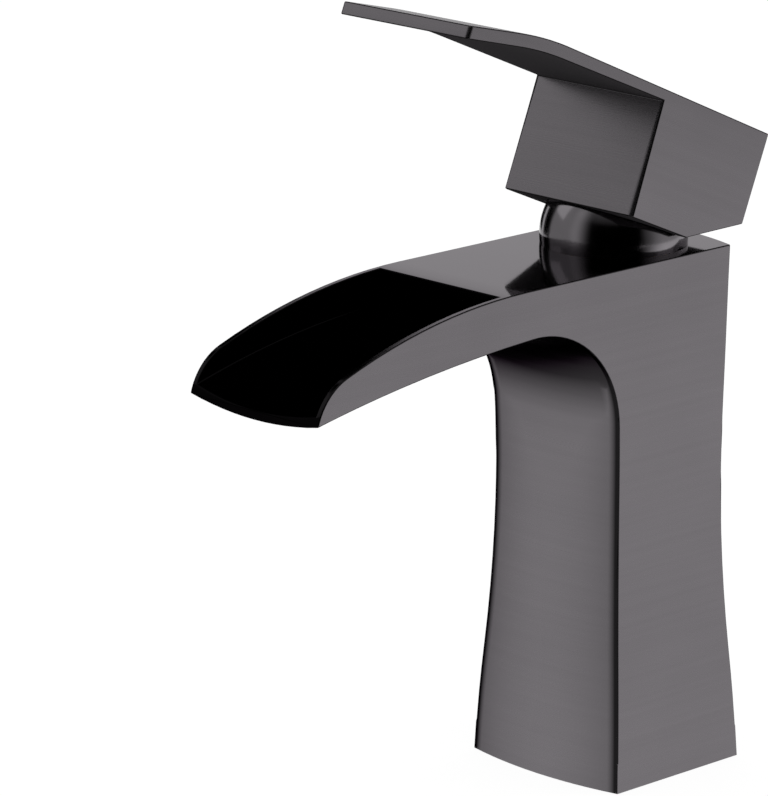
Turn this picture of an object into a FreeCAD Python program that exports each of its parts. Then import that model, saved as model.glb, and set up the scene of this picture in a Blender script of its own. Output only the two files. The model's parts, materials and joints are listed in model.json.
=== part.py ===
import FreeCAD, Part
import math
import os

# Single-lever basin faucet with an open waterfall spout.
# Millimetres. The origin is the centre of the base on the deck, +Z is up,
# and the spout reaches towards -Y. The lever is modelled fully lifted (open).
# Cartridge and handle pieces are drawn with the lever closed and the ball
# pivot at their own origin, then moved to the pivot over the column.

Vector = FreeCAD.Vector
ORIGIN = Vector(0, 0, 0)
RIGHT = Vector(1, 0, 0)
FORWARD = Vector(0, -1, 0)
UP = Vector(0, 0, 1)
DOWN = Vector(0, 0, -1)

# Column: half widths, and the crowns of its bowed front and back. It is
# narrowest at the neck and swells from there to the spout's width.
top_height = 132.2
base_half_width = 25.0
middle_half_width = 23.3
neck_half_width = 21.2
spout_half_width = 21.9
middle_height = 28.0
neck_height = 76.0
shoulder_height = 114.0
base_front = 24.5
middle_front = 22.7
neck_front = 20.6
base_back = 26.7
middle_back = 24.3
neck_back = 21.8
top_back = 23.1
front_bow_radius = 109.0
back_bow_radius = 70.0

# Spout: everything hangs from the flat top of the column
spout_reach = 120.3
spout_root_depth = 14.3
lip_drop = 20.7
throat_radius = 27.15
throat_lean = 3.5
underside_fall = 2.6
brow_start = 52.0
brow_end = 111.0
brow_drop = 10.5
bridge_front = 59.7
bridge_thickness = 3.2
trough_half_width = 20.3
trough_height = 16.0
spout_wall = 3.6
lip_thickness = 2.4

# Inside the column
column_wall = 3.2
web_top = 11.0
port_face_height = 64.0
port_radius = 4.6
port_depth = 12.0
port_spread = 6.2
port_forward = 3.4
hollow_corner_radius = 5.5
inlet_way_radius = 2.3
inlet_spread = 5.6
inlet_forward = 5.6
outlet_way_radius = 3.0
outlet_back = 5.8
gallery_half_width = 2.3
gallery_depth = 8.5
gallery_roof = 2.4
riser_half_width = 12.0
riser_back = 9.8
riser_slope_run = 7.6
chamber_wall = 1.9

# Ball pivot of the lever, and the angle that the lever lifts through
pivot_back = 0.8
pivot_rise = 2.0
lift_angle = 23.0

# Cartridge
housing_radius = 17.4
housing_wall = 1.6
housing_neck_radius = 14.2
housing_neck_top = 4.0
chamber_clearance = 0.2
sleeve_radius = 12.1
sleeve_top = 5.5
sleeve_flange_radius = 15.4
sleeve_flange_thickness = 1.5
sleeve_slot_length = 15.2
running_clearance = 0.06
flat_clearance = 0.1
arm_length = 12.5
arm_radius = 1.6
ball_radius = 2.4
carrier_radius = 10.0
carrier_thickness = 5.0
carrier_rise = 1.0
carrier_neck_height = 1.5
carrier_neck_half_length = 4.4
pocket_clearance = 0.12
pocket_floor = 1.1
disc_radius = 10.6
moving_disc_thickness = 3.0
fixed_disc_thickness = 4.0
mixing_radius = 5.9
mixing_back = 3.5
mixing_depth = 1.5
base_thickness = 4.6
seal_width = 1.3
seal_depth = 0.9
peg_radius = 1.7
peg_spread = 12.6
peg_back = 4.0
peg_length = 2.6
key_half_width = 1.6
key_depth = 1.2

# Stem, its hinge pin and seal
stem_width = 8.0
stem_top = 29.0
stem_foot = 3.2
stem_chamfer = 0.65
stem_slot_clearance = 0.15
pin_radius = 1.5
sleeve_seal_thickness = 1.0
sleeve_seal_depth = 6.0
seal_sides = 8

# Retaining nut and dome
nut_radius = 18.0
nut_bore_radius = 14.4
collar_radius = 16.0
collar_top = 3.4
nut_notch_width = 4.0
nut_notch_depth = 2.0
dome_radius = 18.4
dome_wall = 1.6
dome_opening_radius = 13.0
bonnet_ring_thickness = 1.5
bonnet_ring_height = -0.4
bonnet_clearance = 0.04

# Handle: a block with a thin lever that bends down near its tip
handle_half_width = 21.5
block_front = 19.9
block_back = 20.7
block_bottom = 3.2
block_heel_start = 2.1
block_heel_height = 11.3
block_back_height = 34.5
lever_top = 35.75
lever_underside = 32.4
lever_reach = 91.3
lever_bend_start = 58.0
lever_bend_radius = 100.0
lever_bend_angle = 9.6
lever_tip_thickness = 3.2
dome_gap = 0.6
socket_clearance = 0.05
socket_depth = 0.3
grub_height = 24.0
grub_radius = 2.5
grub_length = 9.0
grub_key_radius = 1.25
plug_radius = 3.2
plug_length = 4.0
plug_chamfer = 0.5

# Deck fixing
shank_radius = 16.0
shank_bore_radius = 13.0
shank_length = 62.0
lead_radius = 15.2
lead_length = 7.0
thread_clearance = 0.05
gasket_thickness = 2.5
base_rim = 3.0
deck_thickness = 30.0
rubber_washer_radius = 25.0
rubber_washer_thickness = 3.0
steel_washer_radius = 24.0
steel_washer_thickness = 1.6
washer_clearance = 0.5
lock_nut_flats = 41.0
lock_nut_height = 9.0
lock_nut_chamfer = 1.2
end_chamfer = 1.0

# Working values that follow from the sizes above
pivot = Vector(0, pivot_back, top_height + pivot_rise)
trim_depth = 15.0
trim_half_width = base_half_width + 5.0
spare_metal = 10.0
overrun = 6.0
cut_margin = 1.0

# Levels of the cartridge stack, down from the pivot
ball_level = -arm_length
carrier_top = ball_level + carrier_rise
carrier_bottom = carrier_top - carrier_thickness
moving_disc_bottom = carrier_bottom - moving_disc_thickness
fixed_disc_top = moving_disc_bottom - running_clearance
fixed_disc_bottom = fixed_disc_top - fixed_disc_thickness
base_bottom = fixed_disc_bottom - base_thickness
flange_bottom = carrier_top + 2 * flat_clearance
flange_top = flange_bottom + sleeve_flange_thickness
roof_bottom = flange_top + flat_clearance
roof_top = roof_bottom + housing_wall
disc_travel = arm_length * math.sin(math.radians(lift_angle))
chamber_floor = pivot.z + base_bottom
ports = [
    (inlet_spread, -inlet_forward, inlet_way_radius),
    (-inlet_spread, -inlet_forward, inlet_way_radius),
    (0.0, outlet_back, outlet_way_radius),
]


def save(node, shape):
    """Write one sub-part and say what it is."""
    if not shape.isValid():
        raise ValueError(node + " is not a valid shape")
    shape.exportStep("parts/" + node + ".step")
    print(node, len(shape.Solids), "solid,", round(shape.Volume), "mm3")


def cylinder(radius, low, high, x=0.0, y=0.0):
    """Upright round bar between two heights."""
    return Part.makeCylinder(radius, high - low, Vector(x, y, low), UP)


def ring(outer, inner, low, high, x=0.0, y=0.0):
    """Upright flat ring between two heights."""
    return cylinder(outer, low, high, x, y).cut(cylinder(inner, low, high, x, y))


def block(low, high):
    """Box between two corners."""
    size = high - low
    return Part.makeBox(size.x, size.y, size.z, low)


def upright_edges(shape):
    """Straight edges of a prism that run along Z."""
    return [edge for edge in shape.Edges if edge.BoundBox.ZLength > edge.BoundBox.XLength
            and edge.BoundBox.ZLength > edge.BoundBox.YLength]


def polyline(points):
    """Straight edges through the points, in order."""
    return [Part.LineSegment(a, b).toShape() for a, b in zip(points, points[1:])]


def tangent_arc(start, heading, end):
    """Arc that leaves start along heading and reaches end, and its heading there."""
    along = (end - start).normalize()
    leaving = Vector(heading).normalize()
    across = (leaving - along * along.dot(leaving)).normalize()
    bulge = (end - start).Length / 2 * math.tan(leaving.getAngle(along) / 2)
    middle = (start + end) * 0.5 + across * bulge
    arrival = along * (2 * along.dot(leaving)) - leaving
    return Part.Arc(start, middle, end).toShape(), arrival


def side_point(reach, height):
    """Point on the middle plane, reach in front of the origin."""
    return Vector(0, -reach, height)


def seat(shape):
    """Move a cartridge piece from the pivot's own frame to its place."""
    shape.translate(pivot)
    return shape


def lifted(shape):
    """Turn a piece of the lever from closed to lifted, then seat it."""
    shape.rotate(ORIGIN, RIGHT, -lift_angle)
    return seat(shape)


# Body

def two_arcs(start, heading, middle, end):
    """Two tangent arcs, the first of which leaves start along heading."""
    first, heading = tangent_arc(start, heading, middle)
    second, heading = tangent_arc(middle, heading, end)
    return [first, second]


def front_elevation():
    """Outline seen from the front, pulled through the whole depth."""
    corners = []
    for side in (1, -1):
        base = Vector(side * base_half_width, 0, 0)
        middle = Vector(side * middle_half_width, 0, middle_height)
        neck = Vector(side * neck_half_width, 0, neck_height)
        shoulder = Vector(side * spout_half_width, 0, shoulder_height)
        top = Vector(side * spout_half_width, 0, top_height)
        corners += two_arcs(neck, DOWN, middle, base)
        corners += two_arcs(neck, UP, (neck + shoulder) * 0.5, shoulder)
        corners += polyline([shoulder, top])
    corners += polyline([Vector(-base_half_width, 0, 0), Vector(base_half_width, 0, 0)])
    corners += polyline([Vector(-spout_half_width, 0, top_height),
                         Vector(spout_half_width, 0, top_height)])
    outline = Part.Wire(Part.__sortEdges__(corners))
    sheet = Part.Face(outline)
    sheet.translate(Vector(0, -spout_reach - overrun, 0))
    return sheet.extrude(Vector(0, spout_reach + base_back + 2 * overrun, 0))


def throat_centre():
    """Centre of the inside curve where the column turns into the spout."""
    height = top_height - spout_root_depth - throat_radius
    lean = math.radians(throat_lean)
    rise = height + throat_radius * math.sin(lean) - neck_height
    start = neck_front + rise * math.tan(lean / 2)
    return side_point(start + throat_radius * math.cos(lean), height)


def throat_point(angle, radius):
    """Point on a circle round the throat's centre, angle from the column side."""
    turn = math.radians(angle)
    return throat_centre() + Vector(0, radius * math.cos(turn), radius * math.sin(turn))


def bow_of(half_width):
    """How far the bowed front falls back at this distance from its crown."""
    return front_bow_radius - math.sqrt(front_bow_radius ** 2 - half_width ** 2)


def lip_crown():
    """Lowest point of the lip: the middle of its bowed underside."""
    return side_point(spout_reach, top_height - lip_drop - bow_of(spout_half_width))


def straight_on(start, heading):
    """Short straight edge that carries a path past the metal."""
    return Part.LineSegment(start, start + heading * overrun).toShape()


def front_path():
    """Crown line up the column, round the throat and out past the lip."""
    base = side_point(base_front, 0)
    middle = side_point(middle_front, middle_height)
    neck = side_point(neck_front, neck_height)
    lip = lip_crown()
    throat_end = 90 + underside_fall
    stops = [throat_point(angle, throat_radius)
             for angle in (throat_lean, (throat_lean + throat_end) / 2, throat_end)]
    fall = math.radians(underside_fall)
    outward = Vector(0, -math.cos(fall), -math.sin(fall))
    rise, heading = tangent_arc(neck, UP, stops[0])
    underside, heading = tangent_arc(stops[2], outward, lip)
    edges = two_arcs(neck, DOWN, middle, base)
    edges += [straight_on(base, DOWN), rise, Part.Arc(*stops).toShape()]
    edges += [underside, straight_on(lip, heading)]
    return Part.Wire(Part.__sortEdges__(edges))


def back_path():
    """Crown line up the back of the column."""
    base = side_point(-base_back, 0)
    middle = side_point(-middle_back, middle_height)
    neck = side_point(-neck_back, neck_height)
    top = side_point(-top_back, top_height)
    rise, heading = tangent_arc(neck, UP, top)
    edges = two_arcs(neck, DOWN, middle, base)
    edges += [straight_on(base, DOWN), rise, straight_on(top, heading)]
    return Part.Wire(Part.__sortEdges__(edges))


def bowed_trim(path, outward, bow_radius):
    """Everything outside a bowed face, whose crown runs along the path."""
    crown = min((vertex.Point for vertex in path.Vertexes), key=lambda point: point.z)
    across = RIGHT * trim_half_width
    sag = bow_radius - math.sqrt(bow_radius ** 2 - trim_half_width ** 2)
    left = crown - across - outward * sag
    right = crown + across - outward * sag
    far = crown + outward * trim_depth
    arc = Part.Arc(left, crown, right).toShape()
    section = Part.Wire([arc] + polyline([right, far + across, far - across, left]))
    return path.makePipe(Part.Face(section))


def side_elevation():
    """Outline seen from the side, with spare metal where the trims will cut."""
    lip = side_point(spout_reach, top_height - lip_drop)
    brow = side_point(brow_end, top_height - brow_drop)
    flat_end = side_point(brow_start, top_height)
    back_top = side_point(-base_back - overrun, top_height)
    back_base = side_point(-base_back - overrun, 0)
    front_base = side_point(base_front + spare_metal, 0)
    column = throat_point(0, throat_radius - spare_metal)
    turn = throat_point(45, throat_radius - spare_metal)
    under = throat_point(90, throat_radius - spare_metal)
    below_lip = lip + DOWN * spare_metal
    brow_arc, heading = tangent_arc(flat_end, FORWARD, brow)
    nose_arc, heading = tangent_arc(brow, heading, lip)
    edges = polyline([flat_end, back_top, back_base, front_base, column])
    edges.append(Part.Arc(column, turn, under).toShape())
    edges += polyline([under, below_lip, lip])
    edges += [nose_arc, brow_arc]
    sheet = Part.Face(Part.Wire(Part.__sortEdges__(edges)))
    sheet.translate(RIGHT * -trim_half_width)
    return sheet.extrude(RIGHT * 2 * trim_half_width)


def trough_floor():
    """Crown line of the trough's floor, from over the throat to past the lip."""
    start = throat_point(90, throat_radius + spout_wall)
    end = lip_crown() + UP * lip_thickness
    floor, heading = tangent_arc(start, FORWARD, end)
    return Part.Wire([straight_on(start, FORWARD * -1), floor, straight_on(end, heading)])


def channel():
    """Water channel with a bowed floor, the whole length of the spout."""
    crown = max((vertex.Point for vertex in trough_floor().Vertexes), key=lambda p: p.y)
    across = RIGHT * trough_half_width
    rise = UP * bow_of(trough_half_width)
    roof = crown + UP * trough_height
    floor = Part.Arc(crown - across + rise, crown, crown + across + rise).toShape()
    sides = polyline([crown + across + rise, roof + across, roof - across,
                      crown - across + rise])
    return trough_floor().makePipe(Part.Face(Part.Wire([floor] + sides)))


def trough():
    """Open part of the channel, in front of the bridge."""
    room = block(Vector(-trim_half_width, -spout_reach - 2 * overrun, 0),
                 Vector(trim_half_width, -bridge_front, top_height + trough_height))
    return channel().common(room)


def outlet_slot():
    """Covered part of the channel, under the bridge."""
    ceiling = top_height - bridge_thickness
    back = throat_point(90, throat_radius).y
    room = block(Vector(-trim_half_width, -bridge_front - cut_margin, 0),
                 Vector(trim_half_width, back, ceiling))
    return channel().common(room)


def riser():
    """Cored way from under the cartridge, up inside the throat to the slot."""
    radius = throat_radius + spout_wall
    ceiling = top_height - bridge_thickness
    under_floor = chamber_floor - gallery_roof
    bottom = under_floor - gallery_depth
    chamber_front = pivot.y - housing_radius - chamber_clearance - chamber_wall
    low_angle = math.degrees(math.asin((bottom - throat_centre().z) / radius))
    low = throat_point(low_angle, radius)
    high = throat_point(90, radius)
    middle = throat_point((low_angle + 90) / 2, radius)
    shoulder = pivot.z + roof_top - flat_clearance - chamber_wall
    edges = [Part.Arc(high, middle, low).toShape()]
    edges += polyline([
        low,
        Vector(0, -riser_back, bottom),
        Vector(0, -riser_back, under_floor),
        Vector(0, chamber_front, under_floor),
        Vector(0, chamber_front, shoulder),
        Vector(0, chamber_front - riser_slope_run, ceiling),
        Vector(0, high.y, ceiling),
        high,
    ])
    sheet = Part.Face(Part.Wire(edges))
    sheet.translate(RIGHT * -riser_half_width)
    return sheet.extrude(RIGHT * 2 * riser_half_width)


def gallery():
    """Narrow way between the inlets, from the cartridge outlet to the riser."""
    under_floor = chamber_floor - gallery_roof
    outlet_y = pivot.y + outlet_back
    floor = under_floor - gallery_depth
    passage = block(Vector(-gallery_half_width, -riser_back - cut_margin, floor),
                    Vector(gallery_half_width, outlet_y, under_floor))
    well = cylinder(outlet_way_radius, floor, chamber_floor, 0, outlet_y)
    return passage.fuse(well)


def rounded_plan(half_width, half_depth, height):
    """Rounded rectangle for the hollow of the column."""
    sheet = Part.makePlane(2 * half_width, 2 * half_depth,
                           Vector(-half_width, -half_depth, height))
    bar = sheet.extrude(UP)
    bar = bar.makeFillet(hollow_corner_radius, upright_edges(bar))
    floor = min(bar.Faces, key=lambda face: face.CenterOfMass.z)
    return floor.OuterWire


def column_hollow():
    """Space in the column for the two supply hoses."""
    low = rounded_plan(middle_half_width - column_wall,
                       middle_front - column_wall - bow_of(middle_half_width), web_top)
    high = rounded_plan(neck_half_width - column_wall,
                        neck_front - column_wall - bow_of(neck_half_width), port_face_height)
    return Part.makeLoft([low, high], True, True)


def base_plan(inset, low, high):
    """Slab with the outline of the base, a little smaller all round."""
    half = base_half_width - inset
    front = side_point(base_front - inset, low)
    back = side_point(inset - base_back, low)
    front_fall = Vector(0, bow_of(half), 0)
    back_fall = Vector(0, math.sqrt(back_bow_radius ** 2 - half ** 2) - back_bow_radius, 0)
    corners = [front + front_fall - RIGHT * half, front + front_fall + RIGHT * half,
               back + back_fall + RIGHT * half, back + back_fall - RIGHT * half]
    edges = [Part.Arc(corners[0], front, corners[1]).toShape()]
    edges += polyline(corners[1:3])
    edges.append(Part.Arc(corners[2], back, corners[3]).toShape())
    edges += polyline([corners[3], corners[0]])
    return Part.Face(Part.Wire(edges)).extrude(UP * (high - low))


def waterways():
    """Hose ports and the ways above them, up to the cartridge chamber."""
    shapes = []
    for side in (1, -1):
        shapes.append(cylinder(port_radius, port_face_height, port_face_height + port_depth,
                               side * port_spread, -port_forward))
        shapes.append(cylinder(inlet_way_radius, port_face_height, chamber_floor,
                               side * inlet_spread, pivot.y - inlet_forward))
        shapes.append(cylinder(peg_radius + running_clearance, chamber_floor - peg_length - cut_margin,
                               chamber_floor, side * peg_spread, pivot.y + peg_back))
    return shapes


def faucet_body():
    """Cast body: flared column, throat, trough, chamber and ways."""
    body = front_elevation().common(side_elevation())
    body = body.cut(bowed_trim(front_path(), FORWARD, front_bow_radius))
    body = body.cut(bowed_trim(back_path(), FORWARD * -1, back_bow_radius))
    chamber_radius = housing_radius + chamber_clearance
    nut_seat = pivot.z + roof_top - flat_clearance
    hollows = [
        trough(),
        outlet_slot(),
        riser(),
        gallery(),
        column_hollow(),
        cylinder(chamber_radius, chamber_floor, top_height, 0, pivot.y),
        cylinder(nut_radius + thread_clearance, nut_seat, top_height, 0, pivot.y),
        cylinder(shank_radius + thread_clearance, 0, web_top),
        base_plan(base_rim, 0, gasket_thickness),
    ]
    for hollow in hollows + waterways():
        body = body.cut(hollow)
    return body


# Cartridge, in the pivot's own frame

def side_keys(half_width, depth, low, high):
    """Two keys at the sides of the housing's bore, which reach in from its wall."""
    wall = housing_radius - housing_wall
    return [block(Vector(min(side * wall, side * (wall - depth)), -half_width, low),
                  Vector(max(side * wall, side * (wall - depth)), half_width, high))
            for side in (1, -1)]


def cartridge_housing():
    """Stepped cup, open below, with a neck that guides the swivel sleeve."""
    low = base_bottom + seal_depth
    outside = cylinder(housing_radius, low, roof_top)
    outside = outside.fuse(cylinder(housing_neck_radius, roof_top, housing_neck_top))
    inside = cylinder(housing_radius - housing_wall, low, roof_bottom)
    bore = cylinder(sleeve_radius + running_clearance, roof_bottom, housing_neck_top)
    shell = outside.cut(inside).cut(bore)
    for key in side_keys(key_half_width, key_depth, low, fixed_disc_top):
        shell = shell.fuse(key)
    return shell


def port_ring(x, y, radius, low, high):
    """Square-section seal round one port."""
    return ring(radius + seal_width, radius, low, high, x, y)


def cartridge_base():
    """Ported floor of the cartridge, with seal seats above and below."""
    radius = housing_radius - housing_wall - flat_clearance
    base = cylinder(radius, base_bottom, fixed_disc_bottom)
    for x, y, way in ports:
        base = base.cut(cylinder(way, base_bottom, fixed_disc_bottom, x, y))
        seat_radius = way + seal_width
        base = base.cut(cylinder(seat_radius, base_bottom, base_bottom + seal_depth, x, y))
        base = base.cut(cylinder(seat_radius, fixed_disc_bottom - seal_depth,
                                 fixed_disc_bottom, x, y))
    for side in (1, -1):
        base = base.fuse(cylinder(peg_radius, base_bottom - peg_length, base_bottom,
                                  side * peg_spread, peg_back))
    return keyed(base, base_bottom, fixed_disc_bottom)


def keyed(shape, low, high):
    """Cut the two notches that slide over the housing's keys."""
    for notch in side_keys(key_half_width + flat_clearance, key_depth + flat_clearance,
                           low, high):
        shape = shape.cut(notch)
    return shape


def seal_set(low):
    """Three port seals of one thickness, as one group."""
    return Part.makeCompound([port_ring(x, y, way, low, low + seal_depth)
                              for x, y, way in ports])


def fixed_disc():
    """Lower ceramic disc, keyed in the housing, with three ports."""
    radius = housing_radius - housing_wall - flat_clearance
    disc = cylinder(radius, fixed_disc_bottom, fixed_disc_top)
    for x, y, way in ports:
        disc = disc.cut(cylinder(way, fixed_disc_bottom, fixed_disc_top, x, y))
    return keyed(disc, fixed_disc_bottom, fixed_disc_top)


def moving_disc():
    """Upper ceramic disc with the mixing pocket in its lower face."""
    disc = cylinder(disc_radius, moving_disc_bottom, carrier_bottom)
    pocket = cylinder(mixing_radius, moving_disc_bottom, moving_disc_bottom + mixing_depth,
                      0, mixing_back)
    return disc.cut(pocket)


def disc_carrier():
    """Carrier that the stem's ball pushes, guided by the sleeve's slot."""
    plate = cylinder(carrier_radius, carrier_bottom, carrier_top)
    half_width = stem_width / 2
    neck = block(Vector(-half_width, -carrier_neck_half_length, carrier_top),
                 Vector(half_width, carrier_neck_half_length,
                        carrier_top + carrier_neck_height))
    pocket = cylinder(ball_radius + pocket_clearance, carrier_bottom + pocket_floor,
                      carrier_top + carrier_neck_height)
    return plate.fuse(neck).cut(pocket)


def swivel_sleeve():
    """Turning sleeve that carries the stem's pin in a slot."""
    sleeve = cylinder(sleeve_radius, flange_top, sleeve_top)
    sleeve = sleeve.fuse(cylinder(sleeve_flange_radius, flange_bottom, flange_top))
    half_width = stem_width / 2 + stem_slot_clearance
    half_length = sleeve_slot_length / 2
    slot = block(Vector(-half_width, -half_length, flange_bottom),
                 Vector(half_width, half_length, sleeve_top))
    guide_half_length = disc_travel + carrier_neck_half_length + pocket_clearance
    guide = block(Vector(-half_width, -guide_half_length, flange_bottom),
                  Vector(half_width, half_length, flange_top))
    groove_level = -sleeve_seal_depth
    half_groove = sleeve_seal_thickness / 2
    groove = ring(sleeve_radius + cut_margin, sleeve_radius - sleeve_seal_thickness,
                  groove_level - half_groove, groove_level + half_groove)
    pin_hole = Part.makeCylinder(pin_radius, 2 * sleeve_radius,
                                 RIGHT * -sleeve_radius, RIGHT)
    return sleeve.cut(slot).cut(guide).cut(groove).cut(pin_hole)


def ring_seal(middle, section, level):
    """Ring seal whose small round section is drawn with flat sides around it."""
    step = 2 * math.pi / seal_sides
    corner = section / math.cos(step / 2)
    turns = [step * (number + 0.5) for number in range(seal_sides + 1)]
    outline = Part.makePolygon([
        Vector(middle + corner * math.cos(turn), 0, level + corner * math.sin(turn))
        for turn in turns])
    return Part.Face(outline).revolve(ORIGIN, UP, 360)


def sleeve_seal():
    """Ring seal in the sleeve's groove."""
    section = sleeve_seal_thickness / 2
    return ring_seal(sleeve_radius - section, section, -sleeve_seal_depth)


def stem_pin():
    """Hinge pin through the sleeve's two cheeks and the stem."""
    half_length = sleeve_radius - 2 * running_clearance
    return Part.makeCylinder(pin_radius, 2 * half_length, RIGHT * -half_length, RIGHT)


def lever_stem():
    """Square stem with a ball-ended arm below its pin."""
    half = stem_width / 2
    stem = block(Vector(-half, -half, -stem_foot), Vector(half, half, stem_top))
    stem = stem.makeChamfer(stem_chamfer, upright_edges(stem))
    arm = cylinder(arm_radius, ball_level, -stem_foot)
    ball = Part.makeSphere(ball_radius, UP * ball_level)
    hole = Part.makeCylinder(pin_radius + running_clearance, stem_width,
                             RIGHT * -half, RIGHT)
    return stem.fuse(arm).fuse(ball).cut(hole)


def cartridge_nut():
    """Ring nut: outside thread in the body, slotted collar inside the dome."""
    low = roof_top
    deck = -pivot_rise
    nut = cylinder(nut_radius, low, deck).fuse(cylinder(collar_radius, deck, collar_top))
    nut = nut.cut(cylinder(nut_bore_radius, low, collar_top))
    half_groove = bonnet_ring_thickness / 2
    groove = ring(collar_radius + cut_margin, collar_radius - bonnet_ring_thickness / 2,
                  bonnet_ring_height - half_groove, bonnet_ring_height + half_groove)
    nut = nut.cut(groove)
    half = nut_notch_width / 2
    for turn in range(2):
        notch = block(Vector(-nut_radius, -half, collar_top - nut_notch_depth),
                      Vector(nut_radius, half, collar_top))
        notch.rotate(ORIGIN, UP, 90 * turn)
        nut = nut.cut(notch)
    return nut


def bonnet_bore():
    """Bore of the dome, which slides over the ring on the nut's collar."""
    return collar_radius + bonnet_ring_thickness / 2


def bonnet_o_ring():
    """Ring seal between the nut's collar and the dome."""
    section = bonnet_ring_thickness / 2 - bonnet_clearance
    middle = bonnet_bore() - section - bonnet_clearance
    return ring_seal(middle, section, bonnet_ring_height)


def dome_cover():
    """Polished dome over the cartridge, open at the top for the stem."""
    deck = -pivot_rise
    dome = Part.makeSphere(dome_radius, ORIGIN)
    below = cylinder(2 * dome_radius, -2 * dome_radius, deck)
    inside = Part.makeSphere(dome_radius - dome_wall, ORIGIN)
    inside = inside.cut(cylinder(2 * dome_radius, -2 * dome_radius, collar_top))
    bore = cylinder(bonnet_bore(), deck, collar_top)
    opening = cylinder(dome_opening_radius, 0, 2 * dome_radius)
    return dome.cut(below).cut(inside).cut(bore).cut(opening)


# Handle, in the pivot's own frame with the lever closed

def lever_surface(height):
    """Flat, bend and straight run of one face of the lever, towards the tip."""
    angle = math.radians(lever_bend_angle)
    start = side_point(lever_bend_start, height)
    centre = start + DOWN * lever_bend_radius
    half = angle / 2
    middle = centre + Vector(0, -math.sin(half), math.cos(half)) * lever_bend_radius
    end = centre + Vector(0, -math.sin(angle), math.cos(angle)) * lever_bend_radius
    run = lever_reach + end.y
    tip = end + Vector(0, -run, -run * math.tan(angle))
    return start, Part.Arc(start, middle, end).toShape(), end, tip


def handle_outline():
    """Side outline of the block and its lever."""
    top_start, top_bend, top_end, tip = lever_surface(lever_top)
    low_start, low_bend, low_end, unused = lever_surface(lever_underside)
    under_tip = tip - (top_start - low_start).normalize() * lever_tip_thickness
    edges = polyline([
        low_start,
        side_point(block_front, lever_underside),
        side_point(block_front, block_bottom),
        side_point(-block_heel_start, block_bottom),
        side_point(-block_back, block_heel_height),
        side_point(-block_back, block_back_height),
        top_start,
    ])
    edges.append(top_bend)
    edges += polyline([top_end, tip, under_tip, low_end])
    edges.append(low_bend)
    return Part.Wire(Part.__sortEdges__(edges))


def handle():
    """Block handle with its dome recess, stem socket and screw hole."""
    sheet = Part.Face(handle_outline())
    sheet.translate(RIGHT * -handle_half_width)
    shape = sheet.extrude(RIGHT * 2 * handle_half_width)
    recess = Part.makeSphere(dome_radius + dome_gap, ORIGIN)
    half = stem_width / 2 + socket_clearance
    socket = block(Vector(-half, -half, 0), Vector(half, half, stem_top + socket_depth))
    screw_way = Part.makeCylinder(grub_radius + running_clearance, block_back,
                                  Vector(0, 0, grub_height), FORWARD * -1)
    plug_way = Part.makeCylinder(plug_radius + running_clearance, plug_length,
                                 Vector(0, block_back - plug_length, grub_height),
                                 FORWARD * -1)
    return shape.cut(recess).cut(socket).cut(screw_way).cut(plug_way)


def grub_screw():
    """Set screw with a hexagon socket that locks the handle to the stem."""
    start = stem_width / 2
    screw = Part.makeCylinder(grub_radius, grub_length, Vector(0, start, grub_height),
                              FORWARD * -1)
    key = Part.makePolygon([
        Vector(grub_key_radius * math.cos(math.radians(60 * corner)),
               start + grub_length,
               grub_height + grub_key_radius * math.sin(math.radians(60 * corner)))
        for corner in range(7)])
    return screw.cut(Part.Face(key).extrude(FORWARD * grub_radius))


def screw_plug():
    """Plain plug that covers the set screw."""
    plug = Part.makeCylinder(plug_radius, plug_length,
                             Vector(0, block_back - plug_length, grub_height), FORWARD * -1)
    rim = [edge for edge in plug.Edges
           if edge.Closed and edge.CenterOfMass.y > block_back - plug_chamfer]
    return plug.makeChamfer(plug_chamfer, rim)


# Deck fixing

def base_gasket():
    """Rubber gasket in the base's recess, round the shank."""
    slab = base_plan(base_rim + flat_clearance, 0, gasket_thickness)
    return slab.cut(cylinder(shank_radius + washer_clearance, 0, gasket_thickness))


def mounting_shank():
    """Hollow threaded shank, with a plain lead at its free end for the nut."""
    lead_top = lead_length - shank_length
    rod = cylinder(shank_radius, lead_top, web_top)
    lead = cylinder(lead_radius, -shank_length, lead_top)
    rims = [edge for edge in lead.Edges
            if edge.Closed and edge.CenterOfMass.z < lead_top - end_chamfer]
    lead = lead.makeChamfer(end_chamfer, rims)
    return rod.fuse(lead).cut(cylinder(shank_bore_radius, -shank_length, web_top))


def rubber_washer():
    """Soft washer against the underside of the deck."""
    top = -deck_thickness
    return ring(rubber_washer_radius, shank_radius + washer_clearance,
                top - rubber_washer_thickness, top)


def steel_washer():
    """Steel washer between the soft washer and the nut."""
    top = -deck_thickness - rubber_washer_thickness
    return ring(steel_washer_radius, shank_radius + washer_clearance,
                top - steel_washer_thickness, top)


def lock_nut():
    """Hexagon nut that pulls the faucet down on the deck."""
    top = -deck_thickness - rubber_washer_thickness - steel_washer_thickness
    low = top - lock_nut_height
    corner = lock_nut_flats / math.sqrt(3)
    outline = Part.makePolygon([
        Vector(corner * math.cos(math.radians(60 * number)),
               corner * math.sin(math.radians(60 * number)), low)
        for number in range(7)])
    nut = Part.Face(outline).extrude(UP * lock_nut_height)
    disc = cylinder(corner, low, top)
    rims = [edge for edge in disc.Edges if len(edge.Vertexes) == 1 and edge.Closed]
    rounded = disc.makeChamfer(lock_nut_chamfer, rims)
    bore = cylinder(shank_radius + running_clearance, low, top)
    return nut.common(rounded).cut(bore)


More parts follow.
